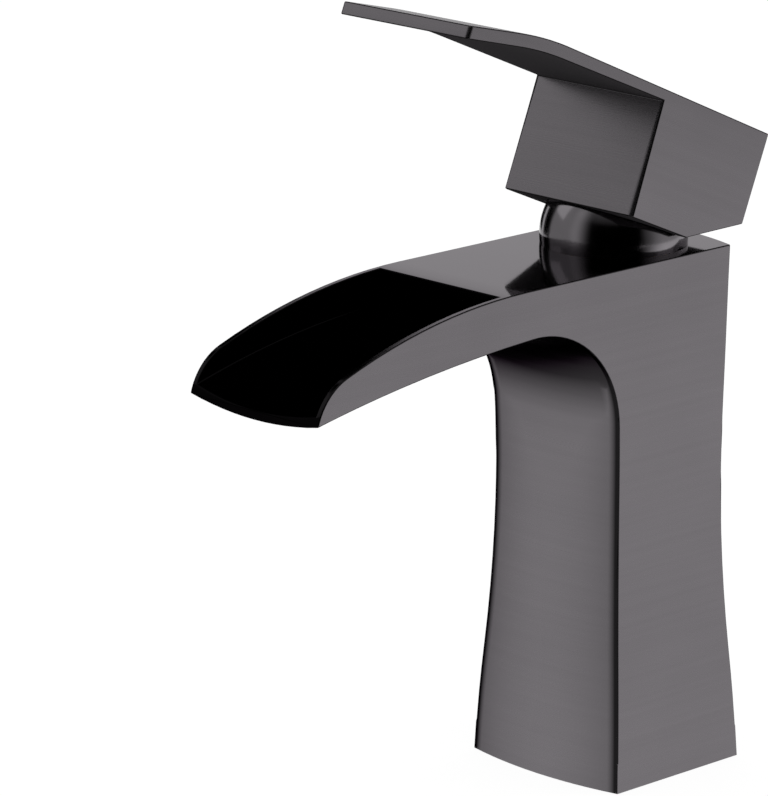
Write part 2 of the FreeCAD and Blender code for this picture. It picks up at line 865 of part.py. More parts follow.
def main():
    os.makedirs("parts", exist_ok=True)
    save("faucet_body", faucet_body())
    save("cartridge_housing", seat(cartridge_housing()))
    save("cartridge_base", seat(cartridge_base()))
    save("inlet_seals", seat(seal_set(base_bottom)))
    save("port_seals", seat(seal_set(fixed_disc_bottom - seal_depth)))
    save("fixed_disc", seat(fixed_disc()))
    for node, shape in (("moving_disc", moving_disc()), ("disc_carrier", disc_carrier())):
        shape.translate(FORWARD * disc_travel)
        save(node, seat(shape))
    save("swivel_sleeve", seat(swivel_sleeve()))
    save("sleeve_seal", seat(sleeve_seal()))
    save("stem_pin", seat(stem_pin()))
    save("cartridge_nut", seat(cartridge_nut()))
    save("bonnet_o_ring", seat(bonnet_o_ring()))
    save("dome_cover", seat(dome_cover()))
    save("lever_stem", lifted(lever_stem()))
    save("handle", lifted(handle()))
    save("grub_screw", lifted(grub_screw()))
    save("screw_plug", lifted(screw_plug()))
    save("base_gasket", base_gasket())
    save("mounting_shank", mounting_shank())
    save("rubber_washer", rubber_washer())
    save("steel_washer", steel_washer())
    save("lock_nut", lock_nut())
    print("disc slide per radian of lift:", disc_travel / math.radians(lift_angle))


main()
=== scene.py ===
# %% [markdown]
# # A waterfall basin faucet
# The real thing is a cast brass column that turns into an open trough, with a
# polished dome on top and a block handle with a thin lever. The CAD frame already
# has every piece in its place, so this lesson is about edges, finishes and light.
# Everything is in metres and in the CAD's own frame.

# %% Load the frame
import json
import math

import bmesh
import bpy
from mathutils import Matrix, Vector


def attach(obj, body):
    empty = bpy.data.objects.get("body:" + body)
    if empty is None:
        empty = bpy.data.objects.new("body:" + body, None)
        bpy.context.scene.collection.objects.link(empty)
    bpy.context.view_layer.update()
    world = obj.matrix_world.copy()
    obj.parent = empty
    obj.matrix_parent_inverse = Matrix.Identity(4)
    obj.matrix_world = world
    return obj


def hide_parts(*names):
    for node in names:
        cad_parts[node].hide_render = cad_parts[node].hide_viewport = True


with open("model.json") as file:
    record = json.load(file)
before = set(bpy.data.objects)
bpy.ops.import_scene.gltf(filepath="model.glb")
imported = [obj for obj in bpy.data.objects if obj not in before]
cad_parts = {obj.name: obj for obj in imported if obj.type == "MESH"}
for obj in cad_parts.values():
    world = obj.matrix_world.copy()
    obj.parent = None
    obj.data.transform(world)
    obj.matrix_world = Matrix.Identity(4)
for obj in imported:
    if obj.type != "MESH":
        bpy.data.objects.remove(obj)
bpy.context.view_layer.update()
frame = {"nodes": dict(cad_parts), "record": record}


# %% [markdown]
# ## The camera
# A long lens from far away flattens the view, as in the photograph. The place was
# found by fitting a pinhole camera to the straight edges of the picture. Azimuth
# turns from the front (-Y) towards +X, and the small roll levels the base.

# %% Camera
AZIMUTH = math.radians(45.904)
ELEVATION = math.radians(14.906)
ROLL = math.radians(0.110)
CAMERA_PLACE = Vector((0.88954, -0.93982, 0.43649))
FOCAL_PIXELS = 5384.6
PICTURE = (768, 796)
SENSOR = 36.0
NEAR, FAR = 0.05, 50


def place_camera():
    """A camera whose axes are built from its azimuth, elevation and roll."""
    back = Vector((math.sin(AZIMUTH) * math.cos(ELEVATION),
                   -math.cos(AZIMUTH) * math.cos(ELEVATION), math.sin(ELEVATION)))
    level = Vector((math.cos(AZIMUTH), math.sin(AZIMUTH), 0))
    right = level * math.cos(ROLL) + back.cross(level) * math.sin(ROLL)
    axes = Matrix((right, back.cross(right), back)).transposed().to_4x4()
    lens = bpy.data.cameras.new("photo_lens")
    lens.sensor_width = SENSOR
    lens.lens = FOCAL_PIXELS * SENSOR / max(PICTURE)
    lens.clip_start, lens.clip_end = NEAR, FAR
    camera = bpy.data.objects.new("photo_camera", lens)
    camera.matrix_world = Matrix.Translation(CAMERA_PLACE) @ axes
    bpy.context.scene.collection.objects.link(camera)
    bpy.context.scene.camera = camera
    print("lens:", round(lens.lens, 1), "mm")


place_camera()

# %% [markdown]
# ## Shader maths as Python
# A material is a graph of nodes. Building that graph by hand hides what it means,
# so one small class wraps a socket. Adding or multiplying two of them adds the
# Math node that does it, and every other node comes from one method.

# %% Socket class


class Socket:
    """One output of a node, with Python's operators for Math nodes."""

    def __init__(self, tree, link):
        self.tree = tree
        self.link = link

    def node(self, kind, settings=None, output=0, **values):
        """Any node: its settings first, then its sockets by name or number (_0)."""
        made = self.tree.nodes.new("ShaderNode" + kind)
        for name, value in (settings or {}).items():
            setattr(made, name, value)
        for name, value in values.items():
            key = int(name[1:]) if name[1:].isdigit() else name.replace("_", " ")
            if isinstance(value, Socket):
                self.tree.links.new(value.link, made.inputs[key])
            else:
                made.inputs[key].default_value = value
        return Socket(self.tree, made.outputs[output])

    def maths(self, operation, *others):
        """A Math node on this socket and up to two more values."""
        values = {"_%d" % i: value for i, value in enumerate((self, *others))}
        return self.node("Math", {"operation": operation}, **values)

    def __add__(self, other):
        return self.maths("ADD", other)

    def __sub__(self, other):
        return self.maths("SUBTRACT", other)

    def __rsub__(self, other):
        return self.node("Math", {"operation": "SUBTRACT"}, _0=other, _1=self)

    def __mul__(self, other):
        return self.maths("MULTIPLY", other)

    def blend(self, low, high):
        """Colour between low and high, with this socket as the share of high."""
        return self.node("Mix", {"data_type": "RGBA"}, output=2,
                         _0=self, _6=low, _7=high)

    def mapped(self, scale, rotation=(0, 0, 0)):
        """These coordinates, turned and then stretched."""
        return self.node("Mapping", {"vector_type": "TEXTURE"}, Vector=self,
                         Rotation=rotation,
                         Scale=tuple(1 / part for part in scale))

    def noise(self, scale=1.0, detail=2.0, roughness=0.5):
        """Soft noise over these coordinates, about 0.5 on average."""
        return self.node("TexNoise", Vector=self, Scale=scale, Detail=detail,
                         Roughness=roughness)

    def attribute(self, name):
        """A number that the mesh stores at its points."""
        return self.node("Attribute", {"attribute_name": name}, output=2)


# %% [markdown]
# ## One maker for every finish
# Each finish is a Principled shader. Numbers that are the same all over go straight
# to the shader's sockets, and what varies is linked. The coordinates are the
# object's own, so a pattern stays on the piece when it moves.

# %% Material maker
def finish(name, colour, roughness, metallic=0.0, **uniform):
    """A Principled material, its shader, and the object's own coordinates."""
    made = bpy.data.materials.new(name)
    made.use_nodes = True
    tree = made.node_tree
    shader = tree.nodes["Principled BSDF"]
    shader.inputs["Base Color"].default_value = colour
    shader.inputs["Roughness"].default_value = roughness
    shader.inputs["Metallic"].default_value = metallic
    for key, value in uniform.items():
        shader.inputs[key.replace("_", " ")].default_value = value
    place = tree.nodes.new("ShaderNodeTexCoord").outputs["Object"]
    return made, shader, Socket(tree, place)


def feed(shader, socket_name, value):
    """Link a value that varies over the surface to one socket of the shader."""
    value.tree.links.new(value.link, shader.inputs[socket_name])


def feed_bump(shader, height, strength, depth):
    """Let a pattern stand out from the surface by a depth in metres."""
    feed(shader, "Normal", height.node("Bump", Strength=strength, Distance=depth,
                                       Height=height))


def grey(value, cast=1.0):
    """An opaque grey with a share of the plating's faint plum cast."""
    red, green = value * (1 + 0.02 * cast), value * (1 - 0.045 * cast)
    return (red, green, red, 1.0)


# %% [markdown]
# ## Brushed gunmetal
# The casting and the handle are plated dark and brushed, so fine lines run along each
# piece. A noise that is stretched to hundreds of times its width makes such lines.
# Along the rounded edges the colour is painted darker, a painted reflection of the dark
# room in the rounds, and the finish is glossier there. An attribute of the mesh says
# where. The bowed front is also painted darker in a soft band beside its two corners,
# and very lightly towards them, as painted shade and reflection of its bow and soft
# corners. The distance to the corner comes from a second attribute.

# %% Painted shade on the bowed front
MM = 0.001
CORNER_REACH = 3.1 * MM
CORNER_SHADE, CORNER_FALL = 1.1, 1.3
FAINT_SHADE = 0.36


def painted_corner_shade(place):
    """Painted shade and reflection over the bowed front: full at its corners, faint
    across the face.
    """
    half = place.attribute("half_width")
    across = place.node("SeparateXYZ", Vector=place).maths("ABSOLUTE")
    beside = (1.0 - (half - across) * (1 / CORNER_REACH)).maths("MAXIMUM", 0.0)
    faint = across.maths("DIVIDE", half).maths("POWER", 2.0)
    painted_dark_and_gloss = beside.maths("POWER", CORNER_FALL) * CORNER_SHADE + faint * FAINT_SHADE
    return painted_dark_and_gloss.maths("MINIMUM", 1.0)


# %% [markdown]
# The fine lines move the roughness and a very shallow bump. Longer strokes and a
# broad cloud keep the grey from being one flat colour. The handle's lines lie along
# its lever, which is turned by the lift angle, so the tilt is a value of the maker.

# %% Brushed gunmetal
LIFT = math.radians(23)
GUNMETAL = 0.175
# Tone of the painted shade and reflection at edges and corners, as a share of the
# metal's.
PAINTED_DARK_TONE = 0.07
FINE_LINES = (22, 22, 5200)
STROKES = (9, 9, 620)
CLOUDS = 38.0
LINE_SHARE, STROKE_SHARE, CLOUD_SHARE = 0.30, 0.55, 0.45
SMOOTHED = 0.08


def shades(share, tone):
    """A tone that a pattern moves by an eighth either way."""
    return share.blend(grey(tone * 0.88), grey(tone * 1.12))


def brushed_gunmetal(name, tilt=0.0, tone=GUNMETAL, matt=0.27, brush=0.08,
                     grazing=0.6, corners=False, metal=1.0):
    """Dark plating, brushed across the piece's own height, with painted dark reflection
    at its edges.
    """
    made, shader, place = finish(name, grey(tone), matt, metal,
                                 Specular_Tint=grey(grazing, 0.4),
                                 Specular_IOR_Level=metal * 0.5)
    painted_dark_and_gloss = place.attribute("painted_dark_and_polish")
    if corners:
        painted_dark_and_gloss = painted_dark_and_gloss.maths("MAXIMUM", painted_corner_shade(place))
    lines = place.mapped(FINE_LINES, (tilt, 0, 0)).noise(detail=3.0, roughness=0.6)
    strokes = place.mapped(STROKES, (tilt, 0, 0)).noise(detail=2.0)
    cloud = place.noise(CLOUDS, detail=2.0)
    shade = ((lines - 0.5) * LINE_SHARE + (strokes - 0.5) * STROKE_SHARE
             + (cloud - 0.5) * CLOUD_SHARE + 0.5)
    # Painted shade and reflection: rounded edges, the front's corners, the throat and
    # the rim near the nose take this darker tone.
    painted_dark_colour = grey(tone * PAINTED_DARK_TONE)
    feed(shader, "Base Color", painted_dark_and_gloss.blend(shades(shade, tone), painted_dark_colour))
    grain = (lines - 0.5) * brush + (strokes - 0.5) * 0.5 * brush
    feed(shader, "Roughness", grain - painted_dark_and_gloss * SMOOTHED + matt)
    feed_bump(shader, lines, 0.10, 0.02 * MM)
    return made


# %% [markdown]
# The same maker gives five finishes. The front and the handle are less bright at a
# grazing angle than the sides. The flat top is smoother, so it mirrors the dome.
# The handle's undersides are matt and not metal, and their much darker tone is painted
# shade.

# %% The five brushed finishes
body_metal = brushed_gunmetal("brushed_gunmetal")
# The bowed front gets painted shade and reflection beside its corners.
front_metal = brushed_gunmetal("brushed_gunmetal_front", grazing=0.3, corners=True)
handle_metal = brushed_gunmetal("brushed_gunmetal_handle", tilt=-LIFT, grazing=0.4)
# Painted shade: the undersides take a much darker tone.
under_metal = brushed_gunmetal("matt_underside_painted_shade", tilt=-LIFT, tone=0.046, matt=0.6,
                               metal=0.0)
top_metal = brushed_gunmetal("smooth_top", tone=0.062, matt=0.06, brush=0.03,
                             grazing=0.78)
for made in (body_metal, front_metal, handle_metal, under_metal, top_metal):
    print("finish", made.name, "with", len(made.node_tree.nodes), "nodes")

# %% [markdown]
# ## Trough and dome
# The trough and the dome are polished, with no brushed lines, and mirror the room. The
# trough's near-black colour is painted shade; the dome is polished metal that takes its
# dark look from what it mirrors. A faint unevenness in the normal keeps their
# reflections from being perfectly straight.

# %% Dark finishes
def dark_plating(name, tone, roughness, ripple, grazing):
    """Polished plating of one tone with a faint unevenness."""
    made, shader, place = finish(name, grey(tone), roughness, 1.0,
                                 Specular_Tint=grey(grazing, cast=0))
    waves = place.noise(160.0, detail=2.0)
    feed(shader, "Base Color", shades(waves, tone))
    feed(shader, "Roughness", (waves - 0.5) * 0.05 + roughness)
    feed_bump(shader, waves, 0.2, ripple)
    return made


# Painted shade: the trough's near-black tone stands in for the shade in the open
# trough.
trough_metal = dark_plating("polished_trough", 0.006, 0.22, 0.03 * MM, grazing=0.03)
dome_metal = dark_plating("polished_dome", 0.220, 0.14, 0.004 * MM, grazing=0.7)
print("polished finishes:", trough_metal.name, dome_metal.name)

# %% [markdown]
# ## The inside and what is below the deck
# A faucet that is taken apart shows turned brass, zinc-plated steel, ground steel,
# moulded plastic, white ceramic and black rubber. Turned parts carry rings from the
# lathe tool, which is a wave over the height. The moulded ones have a fine grain.

# %% Makers of hidden finishes
def dulled(colour, share):
    """A colour with its brightness cut to a share."""
    return tuple(part * share for part in colour[:3]) + (1.0,)


def turned(name, colour, roughness, pitch, depth):
    """Machined metal: fine tool rings over the height, and a soft tarnish."""
    made, shader, place = finish(name, colour, roughness, 1.0)
    rings = place.mapped((4, 4, 1 / pitch)).noise(detail=1.0)
    tarnish = place.noise(90.0, detail=4.0)
    uneven = tarnish * 0.9 + rings * 0.1
    feed(shader, "Base Color", uneven.blend(dulled(colour, 0.72), colour))
    feed(shader, "Roughness", (tarnish - 0.5) * 0.25 + roughness)
    feed_bump(shader, rings, 0.3, depth)
    return made


def moulded(name, colour, roughness, grain, depth, **uniform):
    """Plastic, rubber or ceramic with a fine even grain."""
    made, shader, place = finish(name, colour, roughness, **uniform)
    specks = place.noise(1 / grain, detail=3.0)
    feed(shader, "Base Color", specks.blend(dulled(colour, 0.82), colour))
    feed(shader, "Roughness", (specks - 0.5) * 0.2 + roughness)
    feed_bump(shader, specks, 0.3, depth)
    return made


# %% [markdown]
# Each other material slot of the CAD record gets its finish: a colour, a roughness,
# the pitch or grain of its pattern, and the pattern's depth.

# %% Hidden finishes
hidden_finishes = {
    "bare_brass": turned("turned_brass", (0.72, 0.50, 0.20, 1), 0.28,
                         0.4 * MM, 0.02 * MM),
    "pin_steel": turned("ground_steel", (0.58, 0.57, 0.56, 1), 0.24,
                        0.3 * MM, 0.01 * MM),
    "washer_steel": turned("zinc_steel", (0.62, 0.63, 0.66, 1), 0.36,
                           0.8 * MM, 0.01 * MM),
    "cartridge_plastic": moulded("white_acetal", (0.72, 0.72, 0.69, 1), 0.42,
                                 0.4 * MM, 0.01 * MM),
    "sleeve_plastic": moulded("black_acetal", (0.030, 0.030, 0.032, 1), 0.34,
                              0.4 * MM, 0.01 * MM),
    "ceramic_disc": moulded("alumina", (0.80, 0.79, 0.75, 1), 0.16,
                            0.2 * MM, 0.004 * MM, Coat_Weight=0.3),
    "seal_rubber": moulded("black_rubber", (0.018, 0.018, 0.018, 1), 0.62,
                           0.3 * MM, 0.02 * MM),
    "plug_rubber": moulded("matt_plug", (0.016, 0.016, 0.017, 1), 0.55,
                           0.3 * MM, 0.01 * MM),
}
slot_of = {row["node"]: row["material_slot"] for row in frame["record"]["subparts"]}
for node, piece in frame["nodes"].items():
    if slot_of[node] in hidden_finishes:
        piece.material_slots[0].material = hidden_finishes[slot_of[node]]
print("hidden finishes:", len(hidden_finishes))

# %% [markdown]
# ## Edges with a small round
# CAD edges are perfectly sharp, and no real casting is. A copy of the CAD mesh is
# merged into one skin, its flat faces are joined, and bmesh's bevel runs along its
# creases. A vertex that only the bevel's new faces touch is painted fully dark and made
# glossier: a painted reflection of the dark room in the round. The copy then stands for
# its CAD node.

# %% Skins and their rounds
FINE_ROUND = 0.32 * MM
CREASE = math.radians(24)
FLAT = math.radians(0.05)
SAME_POINT = 2e-6


def merged_copy(node):
    """A CAD node's mesh as one closed skin, with its flat faces joined."""
    skin = bmesh.new()
    skin.from_mesh(frame["nodes"][node].data)
    bmesh.ops.remove_doubles(skin, verts=skin.verts[:], dist=SAME_POINT)
    bmesh.ops.dissolve_limit(skin, angle_limit=FLAT, verts=skin.verts[:],
                             edges=skin.edges[:], use_dissolve_boundaries=False,
                             delimit={"NORMAL"})
    # A layer for painted dark edges and shade, with the glossier finish.
    skin.verts.layers.float.new("painted_dark_and_polish")
    return skin


def creases_of(skin, wanted):
    """The creases of a skin that a test wants."""
    return [edge for edge in skin.edges
            if len(edge.link_faces) == 2 and edge.calc_face_angle(0) > CREASE
            and wanted(edge)]


def round_over(skin, creases, width, segments):
    """Bevel the creases, paint the middle of the new faces dark and glossy, and count
    them.
    """
    made = bmesh.ops.bevel(skin, geom=creases, affect="EDGES", offset=width,
                           offset_type="OFFSET", segments=segments, profile=0.5,
                           material=-1, clamp_overlap=False, miter_outer="SHARP")
    rounds = set(made["faces"])
    painted_dark_and_polish = skin.verts.layers.float["painted_dark_and_polish"]
    for vert in {vert for face in rounds for vert in face.verts}:
        if all(face in rounds for face in vert.link_faces):
            vert[painted_dark_and_polish] = 1.0
    return len(creases)


# %% [markdown]
# A dressed piece rides on the body of its node, takes the finishes it is given, and is
# shaded smooth between its creases, with flat faces weighing most.

# %% Pieces that stand for a node
def dressed_piece(name, skin, materials, node, body):
    """Turn a skin into an object that stands for a CAD node."""
    mesh = bpy.data.meshes.new(name)
    skin.to_mesh(mesh)
    skin.free()
    mesh.shade_smooth()
    mesh.set_sharp_from_angle(angle=CREASE * 1.6)
    for made in materials:
        mesh.materials.append(made)
    piece = bpy.data.objects.new(name, mesh)
    bpy.context.scene.collection.objects.link(piece)
    weighted = piece.modifiers.new("even_shading", "WEIGHTED_NORMAL")
    weighted.keep_sharp = True
    weighted.weight = 100
    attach(piece, body)
    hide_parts(node)
    print(name, "stands for", node, "with", len(mesh.polygons), "faces")


# %% [markdown]
# ## The casting's zones
# Every face of the casting gets a finish by its place and by where it looks. The faces
# that look into the trough are coloured near black as painted shade, and so is the end
# of the nose. The rim beside the trough starts as brushed metal and fades to black
# towards the nose, also painted shade. The bowed front and the spout's underside are
# one strip with its own finish, which carries painted shade beside its corners.

# %% Zones of the casting
TOP_HEIGHT = 132.2 * MM
NOSE = -120.3 * MM
COLUMN_END = -48 * MM
PLATE_END = -60.2 * MM
TROUGH_HALF_WIDTH = 20.3 * MM
SPOUT_HALF_WIDTH = 21.9 * MM
OUTER = 20.9 * MM
FOOT = 0.1 * MM
FRONT_LIMIT = -12 * MM
THROAT_TOP, UNDERSIDE_TOP = TOP_HEIGHT - 20 * MM, TOP_HEIGHT - 8 * MM
SLOT_ROOF = TOP_HEIGHT - 4 * MM
BODY, TROUGH, TOP, FRONT, RIM = range(5)


def is_side(face):
    """True for the flat outer sides of the column and the spout."""
    return abs(face.normal.x) > 0.9 and abs(face.calc_center_median().x) > OUTER


def is_front(face):
    """True for the bowed front, the throat and the spout's underside."""
    middle = face.calc_center_median()
    if is_side(face) or middle.z < FOOT or middle.y > FRONT_LIMIT:
        return False
    if middle.y > COLUMN_END and middle.z < THROAT_TOP:
        return face.normal.y < -0.5 or face.normal.z < -0.3
    return face.normal.z < -0.3 and middle.z < UNDERSIDE_TOP


def is_plate(face):
    """True for the flat top between the trough and the column's back."""
    middle = face.calc_center_median()
    level = face.normal.z > 0.9 and middle.z > TOP_HEIGHT - 0.5 * MM
    inside = abs(middle.x) < SPOUT_HALF_WIDTH - 0.1 * MM
    return level and inside and middle.y > PLATE_END


def in_trough(face):
    """True for the trough's floor and walls and for the roof of its slot."""
    middle = face.calc_center_median()
    below_top = middle.z < TOP_HEIGHT - 0.05 * MM and face.normal.z > -0.5
    slot_roof = middle.z > SLOT_ROOF and face.normal.z < -0.5
    return below_top or slot_roof


def zone_of(face):
    """Number of the finish that a face of the casting gets."""
    middle = face.calc_center_median()
    if is_front(face):
        return FRONT
    if is_plate(face):
        return TOP
    if middle.y < NOSE + 0.1 * MM:
        return TROUGH
    if middle.y > COLUMN_END:
        return BODY
    if abs(middle.x) < TROUGH_HALF_WIDTH + 0.05 * MM:
        return TROUGH if in_trough(face) else BODY
    return RIM if face.normal.z > 0.1 or face.normal.y < -0.5 else BODY


# %% [markdown]
# ## Numbers on the casting's points
# Each point of the front strip stores how far the corner beside it is from the middle.
# The tight inside curve under the spout is given painted shade at its points as they
# turn downwards, and loses it along the spout.

# %% Values at the points
THROAT_START = 60 * MM
THROAT_RISE, THROAT_MOST = 1.8, 0.88
UNDER_SPOUT, UNDER_FADE = -34 * MM, 30 * MM
RIM_FADE_START, RIM_FADE = -92 * MM, 14 * MM


def clamped(value):
    """A value held between zero and one."""
    return min(max(value, 0.0), 1.0)


def corner_line(skin):
    """Heights and half widths along the front's corners, from the foot upwards."""
    return sorted((vert.co.z, abs(vert.co.x)) for vert in skin.verts
                  if vert.co.y > COLUMN_END
                  and any(is_side(face) for face in vert.link_faces)
                  and any(is_front(face) for face in vert.link_faces))


def half_width_at(height, line):
    """Half width of the front at one height; the spout's own above the line."""
    for (low, start), (high, end) in zip(line, line[1:]):
        if low <= height <= high and high > low:
            return start + (end - start) * (height - low) / (high - low)
    return line[0][1] if height < line[0][0] else SPOUT_HALF_WIDTH


def throat_painted_shade(vert):
    """How much painted shade a point of the inside curve gets as it turns downwards."""
    on_front = any(face.material_index == FRONT for face in vert.link_faces)
    if not on_front or vert.co.z <= THROAT_START:
        return 0.0
    under_spout = clamped((UNDER_SPOUT - vert.co.y) / UNDER_FADE)
    downwards = max(-vert.normal.z, 0.0)
    return min(downwards * THROAT_RISE, THROAT_MOST) * (1 - under_spout)


# %% [markdown]
# ## The casting
# Only the outside, the trough and the slot are seen, so only their edges are
# rounded. The zones are set first, because the rounds take theirs from the faces
# beside them, and the numbers on the points come last.

# %% Body casting
def shown_crease(edge):
    """Creases on the outer skin and in the open trough, but not on the foot."""
    def shown(point):
        outside = abs(point.x) > OUTER and point.z > FOOT
        return outside or point.y < COLUMN_END or point.z > TOP_HEIGHT - 0.01 * MM
    return all(shown(vert.co) for vert in edge.verts)


casting = merged_copy("faucet_body")
for face in casting.faces:
    face.material_index = zone_of(face)
corners = corner_line(casting)
print("points on the front's corners:", len(corners))
rounded = round_over(casting, creases_of(casting, shown_crease), FINE_ROUND, 3)
print("fine edges:", rounded)

half_width = casting.verts.layers.float.new("half_width")
painted_dark_and_polish = casting.verts.layers.float["painted_dark_and_polish"]
for face in casting.faces:
    if face.material_index == FRONT:
        for vert in face.verts:
            vert[half_width] = half_width_at(vert.co.z, corners)
# Painted shade in the inside curve under the spout.
for vert in casting.verts:
    vert[painted_dark_and_polish] = max(vert[painted_dark_and_polish], throat_painted_shade(vert))
# Painted shade: the rim beside the trough darkens towards the nose.
for face in casting.faces:
    if face.material_index == RIM:
        face.material_index = BODY
        for vert in face.verts:
            near_nose = clamped((RIM_FADE_START - vert.co.y) / RIM_FADE)
            vert[painted_dark_and_polish] = max(vert[painted_dark_and_polish], near_nose)
dressed_piece("body_casting", casting,
              [body_metal, trough_metal, top_metal, front_metal],
              "faucet_body", "faucet")

# %% [markdown]
# ## The handle
# The block and its lever are one casting, brushed along the lever. The upright corners
# of the block's front and of the lever's tip have a wider round. The undersides have
# the matt finish, whose dark tone is painted shade.

# %% Handle casting
LONG_ROUND = 1.1 * MM
HANDLE_OUTER = 20 * MM
LOOKS_DOWN = -0.6


def front_corner(edge):
    """Corners between a side of the handle and a face that looks forwards."""
    sides = [face for face in edge.link_faces if abs(face.normal.x) > 0.9]
    fronts = [face for face in edge.link_faces if face.normal.y < -0.7]
    outside = abs(edge.verts[0].co.x) > HANDLE_OUTER
    return len(sides) == 1 and len(fronts) == 1 and outside


def handle_crease(edge):
    """The other creases of the handle's outer skin."""
    return all(abs(vert.co.x) > HANDLE_OUTER for vert in edge.verts)


knob = merged_copy("handle")
for face in knob.faces:
    # Faces that look down get the darker matt finish: painted shade.
    face.material_index = int(face.normal.z < LOOKS_DOWN)
rounded = round_over(knob, creases_of(knob, front_corner), LONG_ROUND, 4)
print("front corners:", rounded)
rounded = round_over(knob, creases_of(knob, handle_crease), FINE_ROUND, 3)
print("fine edges:", rounded)
dressed_piece("handle_casting", knob, [handle_metal, under_metal], "handle", "lever")
frame["nodes"]["dome_cover"].material_slots[0].material = dome_metal

# %% [markdown]
# ## Turned and moulded pieces
# The nuts, the washers and the ring nut inside are broken at their edges as well,
# each by a width that suits its size. The other hidden pieces stay as the CAD has
# them.

# %% Small pieces
SMALL_ROUNDS = [("lock_nut", "deck_clamp", 0.30), ("steel_washer", "deck_clamp", 0.20),
                ("rubber_washer", "deck_clamp", 0.45),
                ("cartridge_nut", "faucet", 0.15)]
for node, body, width in SMALL_ROUNDS:
    skin = merged_copy(node)
    round_over(skin, creases_of(skin, lambda edge: True), width * MM, 2)
    dressed_piece(node + "_dressed", skin, [hidden_finishes[slot_of[node]]], node, body)

# %% [markdown]
# ## The threaded shank
# The CAD shank is a plain rod at the thread's outer radius. The real one has a fine
# thread for the lock nut. A profile is spun upwards, a little with every step, and
# copies of that turn are stacked so that they meet. Two planes cut the ends off
# square.

# %% Thread
PITCH = 1.5 * MM
CREST, ROOT, BORE = 16.0 * MM, 15.25 * MM, 13.0 * MM
THREAD_LOW, THREAD_HIGH = -55.0 * MM, 11.0 * MM
STEPS = 72
TOUCH = 1e-6


def spun(skin, points, rise=0.0):
    """Spin a line of (radius, height) points once about Z, rising by its steps."""
    verts = [skin.verts.new((radius, 0, height)) for radius, height in points]
    edges = [skin.edges.new(pair) for pair in zip(verts, verts[1:])]
    bmesh.ops.spin(skin, geom=verts + edges, cent=(0, 0, 0), axis=(0, 0, 1),
                   dvec=(0, 0, rise / STEPS), angle=2 * math.pi, steps=STEPS,
                   use_merge=rise == 0, use_duplicate=False)


def everything(skin):
    """All points, edges and faces of a skin."""
    return skin.verts[:] + skin.edges[:] + skin.faces[:]


shank = bmesh.new()
turns = int((THREAD_HIGH - THREAD_LOW) / PITCH) + 3
first = THREAD_LOW - 1.5 * PITCH
spun(shank, [(ROOT, first), (CREST, first + 0.35 * PITCH),
             (CREST, first + 0.50 * PITCH), (ROOT, first + 0.85 * PITCH),
             (ROOT, first + PITCH)], rise=PITCH)
one_turn = everything(shank)
for turn in range(1, turns):
    copied = bmesh.ops.duplicate(shank, geom=one_turn)["geom"]
    points = [part for part in copied if isinstance(part, bmesh.types.BMVert)]
    bmesh.ops.translate(shank, vec=(0, 0, turn * PITCH), verts=points)
bmesh.ops.remove_doubles(shank, verts=shank.verts[:], dist=TOUCH)
for height, side in ((THREAD_LOW, -1), (THREAD_HIGH, 1)):
    bmesh.ops.bisect_plane(shank, geom=everything(shank), plane_co=(0, 0, height),
                           plane_no=(0, 0, side), clear_outer=True)
print("turns of thread:", turns)

# %% [markdown]
# The plain end and the bore are a second profile, spun flat, and two bridges join
# the skins.

# %% Plain end and bore
PLAIN, CHAMFERED = 15.2 * MM, 14.2 * MM
CHAMFER_TOP, SHANK_END = -61 * MM, -62 * MM


def border_at(skin, height):
    """Open edges of a skin at one height."""
    return [edge for edge in skin.edges if edge.is_boundary
            and all(abs(vert.co.z - height) < TOUCH for vert in edge.verts)]


spun(shank, [(PLAIN, THREAD_LOW), (PLAIN, CHAMFER_TOP), (CHAMFERED, SHANK_END),
             (BORE, SHANK_END), (BORE, THREAD_HIGH)])
for height in (THREAD_LOW, THREAD_HIGH):
    bmesh.ops.bridge_loops(shank, edges=border_at(shank, height))
bmesh.ops.recalc_face_normals(shank, faces=shank.faces[:])
print("open edges of the shank:", sum(edge.is_boundary for edge in shank.edges))
dressed_piece("threaded_shank", shank, [hidden_finishes["bare_brass"]],
              "mounting_shank", "faucet")

# %% [markdown]
# ## Studio
# The picture has a white surround, so the world is white to the camera, to
# reflections and through anything clear. It lights the object at a plain level.

# %% World
def white_rays(tree):
    """One for rays that see the white surround, zero for the light on things."""
    rays = tree.nodes.new("ShaderNodeLightPath").outputs
    seen = Socket(tree, rays["Is Camera Ray"])
    for name in ("Is Glossy Ray", "Is Transmission Ray"):
        seen = seen.maths("MAXIMUM", Socket(tree, rays[name]))
    return seen


def white_surround(level):
    """A world that lights at a plain level and looks white."""
    world = bpy.data.worlds.new("studio")
    world.use_nodes = True
    tree = world.node_tree
    background = tree.nodes["Background"]
    background.inputs["Color"].default_value = (1, 1, 1, 1)
    strength = white_rays(tree) * (1 - level) + level
    tree.links.new(strength.link, background.inputs["Strength"])
    bpy.context.scene.world = world
    print("the world lights at", level)


white_surround(0.75)

# %% [markdown]
# The floor is white to the same rays, but a small part of it stays plain paint, so it
# keeps a light contact shadow.

# %% Floor
FLOOR_DROP = 0.2 * MM
FLOOR_WHITE = 1.08
WHITE_SHARE = 0.86


def staged(name, skin, material):
    """An object of the studio, which isn't part of the faucet."""
    mesh = bpy.data.meshes.new(name)
    skin.to_mesh(mesh)
    skin.free()
    mesh.materials.append(material)
    prop = bpy.data.objects.new(name, mesh)
    bpy.context.scene.collection.objects.link(prop)
    print(name, "has", len(mesh.polygons), "faces")
    return prop


